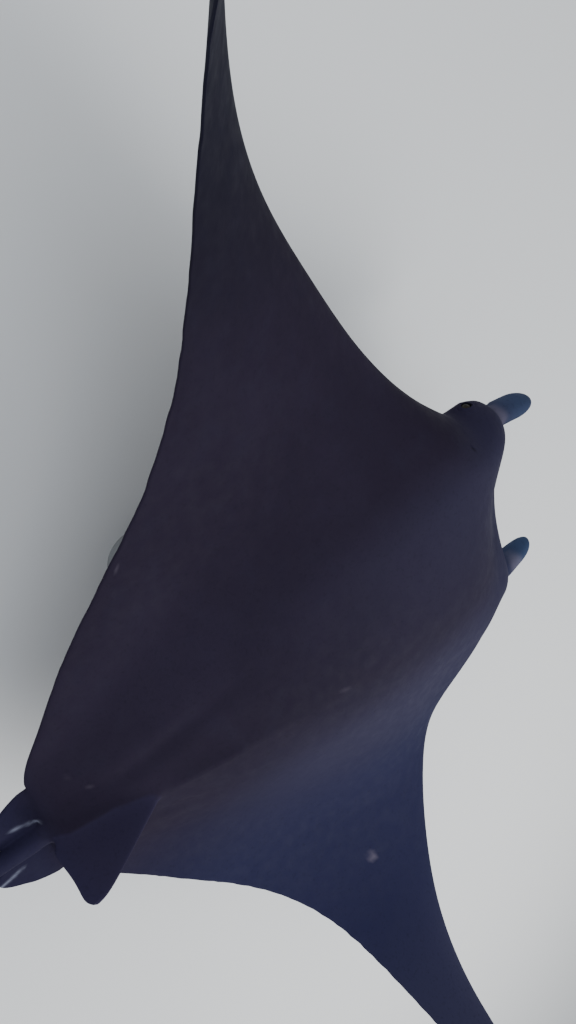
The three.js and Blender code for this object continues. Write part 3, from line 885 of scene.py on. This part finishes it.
# Small pale scars and specks on the back: x and y in units, radius in millimetres, strength.
FLECKS = [
    (12.73, 31.18, 6, 0.6), (13.5, 25.89, 6, 0.6), (0.07, 24.59, 6, 0.5), (4.16, 43.77, 4, 0.3),
    (2.85, 42.82, 3, 0.2), (-24.54, 24.17, 13, 0.4), (17.16, 35.83, 5, 0.3), (33.69, 22.29, 5, 0.3),
    (5.59, 7.81, 4, 0.4), (8, 0.1, 30, 0.2), (-8.3, -0.5, 32, 0.25),
]
# Painted glints: pale lines by the root of the tail, on the pelvic fins, that stand in for
# highlights.
PAINTED_GLINTS = [
    [(1.45, 46.5), (1.65, 47.2), (1.95, 48.3)], [(-1.75, 48.9), (-1.95, 49.8), (-2.1, 50.9)],
]


def paint_skin(mesh):
    """Works out each mask from the place on the body; across is negative on the right."""
    count = len(mesh.vertices)
    points, normals = np.zeros(count * 3), np.zeros(count * 3)
    mesh.vertices.foreach_get("co", points)
    mesh.vertex_normals.foreach_get("vector", normals)
    points, normals = points.reshape(-1, 3), normals.reshape(-1, 3)
    across, y, z = in_units(points)
    x = np.abs(across)
    upward = normals[:, 2]

    under = smooth((0.25 - upward) / 0.4)
    patch = bell(y, 15, 7, 13) * np.exp(-((x / mix(8.5, 4.0, smooth((y - 17) / 9))) ** 4))
    set_mask(mesh, "pale_belly", 0.95 * patch * under * (z < 0))

    # Painted shade: the floors of the gill slits and the spiracles are coloured near-black.
    painted_slit_shade = np.zeros(count)
    for ends in GILL_SLITS:
        behind, within = slit_frame(x, y, ends, GILL_BOW)
        painted_slit_shade = np.maximum(painted_slit_shade, within * bell(behind, 5, 5.5) * (z < -0.5))
    behind, within = slit_frame(x, y, SPIRACLE, SPIRACLE_BOW, SPIRACLE_SOFT)
    painted_slit_shade = np.maximum(painted_slit_shade, 0.5 * within * bell(behind, 3, 4) * (z > 0))
    set_mask(mesh, "painted_slit_shade", painted_slit_shade)

    # Painted highlights: thin pale glint lines along the listed lines by the root of the tail, on
    # skin that does not face down.
    rim = np.min([distance_to_line(across, y, line) for line in PAINTED_GLINTS], axis=0)
    set_mask(mesh, "painted_glint", 0.6 * bell(rim, 0, 0.1) * (upward > -0.3))

    roll = np.zeros(count)
    for side, way in SIDES:
        inside = point_finder(ROLL_AT[side])
        for i in np.flatnonzero((y < 2.5) & (x > 5) & (across * way > 0)):
            roll[i] = 1 - smooth((inside.find(points[i])[2] / MM - 1.5) / 5)
    set_mask(mesh, "roll", roll)

    to_left = smooth((across + 4) / 8)
    # Bluer tint over the right wing, both tips, the head and the root of the tail; on the right
    # wing and the right of the head it is painted light, that side lit more than the left.
    blue = [
        0.95 * smooth((-across - 3) / 14),  # the right wing
        0.45 * smooth((x - 34) / 14),  # both tips
        mix(0.6, 0.3, to_left) * smooth((9 - y) / 8),  # the head
        0.5 * smooth((y - 45) / 3),  # the root of the tail
    ]
    set_mask(mesh, "blue", np.max(blue, axis=0))
    # Painted light: the right flank, the top and front of the head and the right wing tip are
    # coloured lighter, the flank and crown most where the skin faces up.
    above = smooth((upward + 0.2) / 0.7)
    crown = mix(0.1, 0.45, smooth((across + 6) / 12))
    light = [
        0.55 * bell(-across, 7.5, 5, 7) * smooth((40 - y) / 14) * above,  # the right flank
        crown * bell(y, 5, 7, 16) * smooth((12 - x) / 5) * above,  # the top of the head
        mix(0.4, 0.55, to_left) * smooth((4 - y) / 4) * (x < 9),  # the front of the head
        smooth((-across - 28) / 12),  # the right tip
    ]
    set_mask(mesh, "light", np.max(light, axis=0))
    # Painted shade: the left wing is coloured darker towards its tip.
    set_mask(mesh, "painted_wing_shade", 0.7 * smooth((across - 24) / 18))
    # Partly painted light: the horns are tinted blue-grey, the right horn more than the left as the
    # lit side.
    horn = mix(0.95, 0.65, across > 0) * smooth((1.5 - y) / 4) * smooth((x - 4.6) / 1.5)
    set_mask(mesh, "horn_tint", horn)

    fleck = np.zeros(count)
    for place_x, place_y, size_mm, strength in FLECKS:
        away = np.hypot(across - place_x, y - place_y) * UNIT / MM
        spot = strength * (1 - smooth((away - size_mm * 0.4) / (size_mm * 0.9)))
        fleck = np.maximum(fleck, spot * (upward > 0))
    set_mask(mesh, "fleck", fleck)


FLESH = [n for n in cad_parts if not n.startswith(("eye", "stand"))]
paint_skin(finish_piece("manta_skin", build_skin(), skin_material(), FLESH))


# ---- the eyes ----

CORNEA_HALF, CORNEA_RISE = 14 * MM, 0.045
PUPIL_HALF = (8.5 * MM, 5.5 * MM)


def eyeball(side):
    """A ball with a raised cornea; how far each point is from pupil and iris is painted on."""
    centre, axis, level, upright = eye_axes(side)
    bm = bmesh.new()
    bmesh.ops.create_uvsphere(bm, u_segments=96, v_segments=72, radius=EYE_RADIUS)
    iris, pupil = (bm.verts.layers.float.new(name) for name in ("iris", "pupil"))
    for v in bm.verts:
        across = math.hypot(v.co.x, v.co.y)
        front = v.co.z > 0
        if front:
            v.co *= 1 + CORNEA_RISE * (1 - float(smooth(across / CORNEA_HALF)))
        v[iris] = across / CORNEA_HALF if front else 2
        over, up = v.co.x / PUPIL_HALF[0], v.co.y / PUPIL_HALF[1]
        flap = max(0, up + 0.15) * 1.5 * band(over, 0, 0.6)  # hangs over the middle
        v[pupil] = math.hypot(over, up) + flap if front else 2
    turn = Matrix((level, upright, axis)).transposed()
    bmesh.ops.rotate(bm, cent=(0, 0, 0), matrix=turn, verts=bm.verts)
    bmesh.ops.translate(bm, vec=centre, verts=bm.verts)
    return bm


def eye_material():
    """Ray's eye: black pupil under a flap, dark bronze iris with fine streaks, wet clear cornea."""
    material, tree, shader = new_material("wet_eye")
    streaks = add_patterns(tree, {"streaks": (2.2, 4.0, 0.6)})["streaks"]
    iris = add(tree, "ShaderNodeValToRGB", {"Fac": streaks})
    two_tones(iris, (0.3, "#120f0d"), (0.7, "#30281f"))
    colour = rgb("#030304")
    for name, low, high, outside in (("pupil", 0.92, 1.08, iris.outputs["Color"]),
                                     ("iris", 0.86, 1.02, rgb("#0d0e13"))):
        away = add(tree, "ShaderNodeAttribute", attribute_name=name)
        edge = add(tree, "ShaderNodeMapRange", {
            "Value": away.outputs["Fac"], "From Min": low, "From Max": high,
        }, interpolation_type="SMOOTHSTEP")
        colour = add(tree, "ShaderNodeMix", {0: edge.outputs["Result"], 6: colour, 7: outside},
                     data_type="RGBA").outputs[2]
    shader.inputs["Specular IOR Level"].default_value = 0.08
    shader.inputs["Coat Weight"].default_value = 0.22
    shader.inputs["Coat Roughness"].default_value = 0.03
    finish_shader(tree, shader, colour, 0.5)
    return material


wet_eye = eye_material()
for side, _ in SIDES:
    finish_piece(f"eyeball_{side}", eyeball(side), wet_eye, [f"eye_{side}"])

# ---- the display stand: powder-coated plate, brushed rods with flanges, and their screws ----

ROD_RADIUS, ROD_NECK, ROD_SIDES = 19 * MM, 7 * MM, 72
FLANGE_RADIUS, FLANGE_HEIGHT = 58 * MM, 9 * MM
FLANGE_LIFT = 0.2 * MM  # so that the flange does not share a plane with the plate
ROD_INSIDE = 45 * MM  # how much of each rod is hidden in the body
SCREWS_PER_FLANGE, SCREW_RING, SCREW_SIDES = 4, 43 * MM, 36
SCREW_PROFILE = ((6.5, -1), (7, -0.6), (7, 0.6), (6.8, 1.6), (6.1, 2.7), (5.0, 3.5), (4.3, 3.8))
BASE_CORNER, BASE_BEVEL = 90 * MM, 3 * MM


def turned(profile, centre):
    """(radius, height) pairs turned round an upright axis, as rings of points."""
    turn, flat = round_turns(ROD_SIDES), np.ones(ROD_SIDES)
    return np.array([np.stack([
        centre[0] + r * np.cos(turn), centre[1] + r * np.sin(turn), z * flat,
    ], 1) for r, z in profile])


def hoop_mesh(rings):
    """A closed hoop: each ring is joined to the next, and the last to the first."""
    bm = bmesh.new()
    verts = [[bm.verts.new(p) for p in ring] for ring in rings]
    for a, b in zip(verts, verts[1:] + verts[:1]):
        for k in range(ROD_SIDES):
            after = (k + 1) % ROD_SIDES
            bm.faces.new((a[k], b[k], b[after], a[after]))
    bmesh.ops.recalc_face_normals(bm, faces=bm.faces)
    return bm


def fillet(radius, centre, start, end, steps=6):
    """Profile points round a quarter circle, angles in degrees."""
    turn = np.radians(np.linspace(start, end, steps))
    return [(centre[0] + radius * math.cos(a), centre[1] + radius * math.sin(a)) for a in turn]


def rod_profile(low, high):
    """A flange with a rounded rim, a fillet up to the rod, and the rod with a rounded top."""
    top, rim, foot = low + FLANGE_HEIGHT, FLANGE_RADIUS, ROD_RADIUS + ROD_NECK
    return [
        (rim - 3 * MM, low), (rim - 0.4 * MM, low), (rim, low + 0.4 * MM), (rim, low + 1.2 * MM),
        *fillet(2 * MM, (rim - 2 * MM, top - 2 * MM), 0, 90),
        (rim - 3 * MM, top), (foot + 1 * MM, top),
        *fillet(ROD_NECK, (foot, top + ROD_NECK), 270, 180),
        (ROD_RADIUS, top + ROD_NECK + 1 * MM),
        *[(ROD_RADIUS, z) for z in np.linspace(top + 20 * MM, high - 4 * MM, 12)],
        *fillet(3 * MM, (ROD_RADIUS - 3 * MM, high - 3 * MM), 0, 90), (ROD_RADIUS - 4 * MM, high),
    ]


def collar_profile(belly):
    """A sleeve that flares where it meets the belly."""
    inner, outer = ROD_RADIUS + 0.4 * MM, ROD_RADIUS + 13 * MM
    return [
        (inner, belly + 12 * MM), (inner, belly - 13 * MM),
        *fillet(3 * MM, (ROD_RADIUS + 4 * MM, belly - 12 * MM), 200, 360),
        (ROD_RADIUS + 9 * MM, belly - 4 * MM), (outer, belly + 3 * MM), (outer, belly + 12 * MM),
    ]


def base_plate(low, high):
    """A flat plate with round corners and a rounded edge all round."""
    rings = []
    half_x, half_y = (high[0] - low[0]) / 2, (high[1] - low[1]) / 2
    mid_x, mid_y = (high[0] + low[0]) / 2, (high[1] + low[1]) / 2
    levels = [
        (-2 * MM, low[2]), (-0.2 * MM, low[2]),
        *fillet(BASE_BEVEL, (0, low[2] + BASE_BEVEL), 270, 360),
        *fillet(BASE_BEVEL, (0, high[2] - BASE_BEVEL), 0, 90),
        (-0.2 * MM, high[2]), (-2 * MM, high[2]),
    ]
    for out, z in levels:
        ring = []
        for k, (sx, sy) in enumerate(((1, 1), (-1, 1), (-1, -1), (1, -1))):
            for a in np.radians(np.linspace(90 * k, 90 * k + 90, 25)):
                r = BASE_CORNER - (BASE_BEVEL - out)
                ring.append((mid_x + sx * (half_x - BASE_CORNER) + r * math.cos(a),
                             mid_y + sy * (half_y - BASE_CORNER) + r * math.sin(a), z))
        rings.append(ring)
    return rings_mesh(np.array(rings))


def screw_mesh():
    """A low round-headed screw with a hexagonal socket, standing on z = 0."""
    turn = round_turns(SCREW_SIDES)
    socket = 3.2 * MM / np.cos((turn % (math.pi / 3)) - math.pi / 6)
    levels = [(r * MM, z) for r, z in SCREW_PROFILE]
    levels += [(socket + 0.25 * MM, 3.8), (socket, 3.6), (socket, 1.2), (socket * 0.9, 1)]
    rings = [np.stack([r * np.cos(turn), r * np.sin(turn), np.full(SCREW_SIDES, z * MM)], 1)
             for r, z in levels]
    mesh = bpy.data.meshes.new("screw")
    bm = rings_mesh(np.array(rings))
    bm.to_mesh(mesh)
    bm.free()
    return mesh


def screw_ring_tree(material):
    """Geometry Nodes: one screw on each corner of a ring round every point of the carrier mesh."""
    tree = bpy.data.node_groups.new("flange_screw_ring", "GeometryNodeTree")
    for name, kind in (("Centres", "NodeSocketGeometry"), ("Screw", "NodeSocketObject"),
                       ("Count", "NodeSocketInt"), ("Ring radius", "NodeSocketFloat")):
        tree.interface.new_socket(name, in_out="INPUT", socket_type=kind)
    tree.interface.new_socket("Geometry", in_out="OUTPUT", socket_type="NodeSocketGeometry")
    inside = add(tree, "NodeGroupInput")
    ring = add(tree, "GeometryNodeMeshCircle", {
        "Vertices": inside.outputs["Count"], "Radius": inside.outputs["Ring radius"],
    })
    rings = add(tree, "GeometryNodeInstanceOnPoints", {
        "Points": inside.outputs["Centres"], "Instance": ring.outputs["Mesh"],
    })
    corners = add(tree, "GeometryNodeRealizeInstances", {"Geometry": rings.outputs["Instances"]})
    screw = add(tree, "GeometryNodeObjectInfo", {"Object": inside.outputs["Screw"]})
    twist = add(tree, "FunctionNodeRandomValue", {
        "Min": (0, 0, 0), "Max": (0, 0, 6.283), "Seed": 7,
    }, data_type="FLOAT_VECTOR")
    screws = add(tree, "GeometryNodeInstanceOnPoints", {
        "Points": corners.outputs["Geometry"], "Instance": screw.outputs["Geometry"],
        "Rotation": twist.outputs["Value"],
    })
    plain = add(tree, "GeometryNodeRealizeInstances", {"Geometry": screws.outputs["Instances"]})
    coated = add(tree, "GeometryNodeSetMaterial", {"Geometry": plain.outputs["Geometry"]})
    coated.inputs["Material"].default_value = material
    add(tree, "NodeGroupOutput", {"Geometry": coated.outputs["Geometry"]})
    return tree


def screw_rings(centres, material):
    """The screws of every flange as one plain mesh in a bmesh."""
    mesh = bpy.data.meshes.new("screw_centres")
    mesh.from_pydata(centres, [], [])
    carrier = bpy.data.objects.new("screw_centres", mesh)
    single = bpy.data.objects.new("screw", screw_mesh())
    for made in (carrier, single):
        bpy.context.scene.collection.objects.link(made)
    modifier = carrier.modifiers.new("screws", "NODES")
    modifier.node_group = screw_ring_tree(material)
    wanted = {"Screw": single, "Count": SCREWS_PER_FLANGE, "Ring radius": SCREW_RING}
    for item in modifier.node_group.interface.items_tree:
        if item.in_out == "INPUT" and item.name in wanted:
            modifier[item.identifier] = wanted[item.name]
    carrier.update_tag()
    bpy.context.view_layer.update()
    evaluated = carrier.evaluated_get(bpy.context.evaluated_depsgraph_get())
    made = bpy.data.meshes.new_from_object(evaluated)
    carrier.modifiers.clear()
    bm = bmesh.new()
    bm.from_mesh(made)
    for spare in (carrier, single):
        bpy.data.objects.remove(spare)
    bpy.data.meshes.remove(made)
    return bm


def brushed_steel():
    """Satin stainless bar, brushed round its axis, with faint wiping marks."""
    material, tree, shader = new_material("brushed_stainless")
    where = add(tree, "ShaderNodeTexCoord").outputs["Object"]
    squeezed = add(tree, "ShaderNodeMapping", {"Vector": where, "Scale": (0.04, 0.04, 1)})
    lines = add_patterns(tree, {"lines": (0.8, 3.0, 0.5)}, squeezed.outputs["Vector"])["lines"]
    smears = add_patterns(tree, {"smears": (55, 4.0, 0.5)}, where)["smears"]
    tint = add(tree, "ShaderNodeValToRGB", {"Fac": lines})
    two_tones(tint, (0.25, "#a3a5a8"), (0.75, "#c3c5c7"))
    rough = add(tree, "ShaderNodeMapRange", {"Value": smears, "To Min": 0.26, "To Max": 0.42})
    shader.inputs["Metallic"].default_value = 1.0
    finish_shader(tree, shader, tint.outputs["Color"], rough.outputs["Result"], (lines, 0.12, 0.2))
    return material


def powder_coat():
    """Grey powder coat on steel plate: an orange-peel surface, a little uneven in tone."""
    material, tree, shader = new_material("powder_coat")
    at = add_patterns(tree, {"peel": (1.6, 2.0, 0.5), "cloud": (120, 5.0, 0.5)})
    tint = add(tree, "ShaderNodeValToRGB", {"Fac": at["cloud"]})
    two_tones(tint, (0.3, "#85888b"), (0.7, "#8f9295"))
    rough = add(tree, "ShaderNodeMapRange", {"Value": at["peel"], "To Min": 0.48, "To Max": 0.62})
    finish_shader(tree, shader, tint.outputs["Color"], rough.outputs["Result"],
                  (at["peel"], 0.3, 0.3))
    return material


def collar_rubber():
    """Soft black rubber sleeve where a rod enters the belly."""
    material, tree, shader = new_material("collar_rubber")
    grain = add_patterns(tree, {"grain": (1.2, 3.0, 0.5)})["grain"]
    tint = add(tree, "ShaderNodeValToRGB", {"Fac": grain})
    two_tones(tint, (0, "#141416"), (1, "#232327"))
    finish_shader(tree, shader, tint.outputs["Color"], 0.7, (grain, 0.2, 0.3))
    return material


steel, coat, rubber = brushed_steel(), powder_coat(), collar_rubber()
base_low, base_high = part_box("stand_base")
finish_piece("stand_plate", base_plate(base_low, base_high), coat, ["stand_base"])
screw_centres = []
for name in ("front", "rear"):
    low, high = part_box(f"stand_rod_{name}")
    middle = ((low[0] + high[0]) / 2, (low[1] + high[1]) / 2)
    foot = base_high[2] + FLANGE_LIFT
    rod = rings_mesh(turned(rod_profile(foot, high[2]), middle))
    finish_piece(f"rod_{name}", rod, steel, [f"stand_rod_{name}"])
    collar = hoop_mesh(turned(collar_profile(high[2] - ROD_INSIDE), middle))
    finish_piece(f"collar_{name}", collar, rubber, [])
    screw_centres.append((*middle, foot + FLANGE_HEIGHT))
finish_piece("flange_screws", screw_rings(screw_centres, steel), steel, [])

# ---- floor, light and camera ----

FLOOR_HALF, FLOOR_CELLS = 14, 8
LIGHT_AIM = Vector((0, 0, 0.5))
LIGHTS = [  # place, size, power, colour
    ("key", (-3.4, -0.6, 4.4), 3.4, 190, "#ffffff"),
    ("fill", (3.2, 1.5, 4.8), 4.0, 90, "#eef4ff"),
]
SKY_COLOUR, SKY_STRENGTH = "#e8ecf0", 0.72

# Floor: smooth matt pale board.
floor_material, _, shader = new_material("pale_floor")
shader.inputs["Base Color"].default_value = rgb("#eceded")
shader.inputs["Roughness"].default_value = 0.85
floor_bm = bmesh.new()
bmesh.ops.create_grid(floor_bm, x_segments=FLOOR_CELLS, y_segments=FLOOR_CELLS, size=FLOOR_HALF)
floor_mesh = bpy.data.meshes.new("floor")
floor_bm.to_mesh(floor_mesh)
floor_bm.free()
floor_mesh.materials.append(floor_material)
floor = bpy.data.objects.new("floor", floor_mesh)
bpy.context.scene.collection.objects.link(floor)

for name, place_at, size, power, colour in LIGHTS:
    light = bpy.data.lights.new(name, "AREA")
    light.shape, light.size, light.energy = "DISK", size, power
    light.color = rgb(colour)[:3]
    holder = bpy.data.objects.new(name, light)
    holder.location = place_at
    holder.rotation_euler = (LIGHT_AIM - Vector(place_at)).to_track_quat("-Z", "Y").to_euler()
    bpy.context.scene.collection.objects.link(holder)
world = bpy.data.worlds.new("studio")
world.use_nodes = True
sky = world.node_tree.nodes["Background"]
sky.inputs["Color"].default_value = rgb(SKY_COLOUR)
sky.inputs["Strength"].default_value = SKY_STRENGTH
bpy.context.scene.world = world

# The camera looks down on the back from behind the left wing, so that the head is at the right.
CAMERA_LENS, CAMERA_SENSOR = 33.22, 36
CAMERA_PLACE = (1.8062, 1.0801, 2.0574)
CAMERA_RIGHT = (-0.18355, -0.73949, 0.64767)
CAMERA_DOWN = (-0.78155, 0.50940, 0.36013)
CAMERA_AHEAD = (-0.59623, -0.44008, -0.67144)
camera = bpy.data.cameras.new("camera")
camera.lens, camera.sensor_width = CAMERA_LENS, CAMERA_SENSOR
camera_object = bpy.data.objects.new("camera", camera)
axes = Matrix((CAMERA_RIGHT, [-v for v in CAMERA_DOWN], [-v for v in CAMERA_AHEAD])).transposed()
camera_object.matrix_world = Matrix.Translation(CAMERA_PLACE) @ axes.to_4x4()
bpy.context.scene.collection.objects.link(camera_object)
bpy.context.scene.camera = camera_object
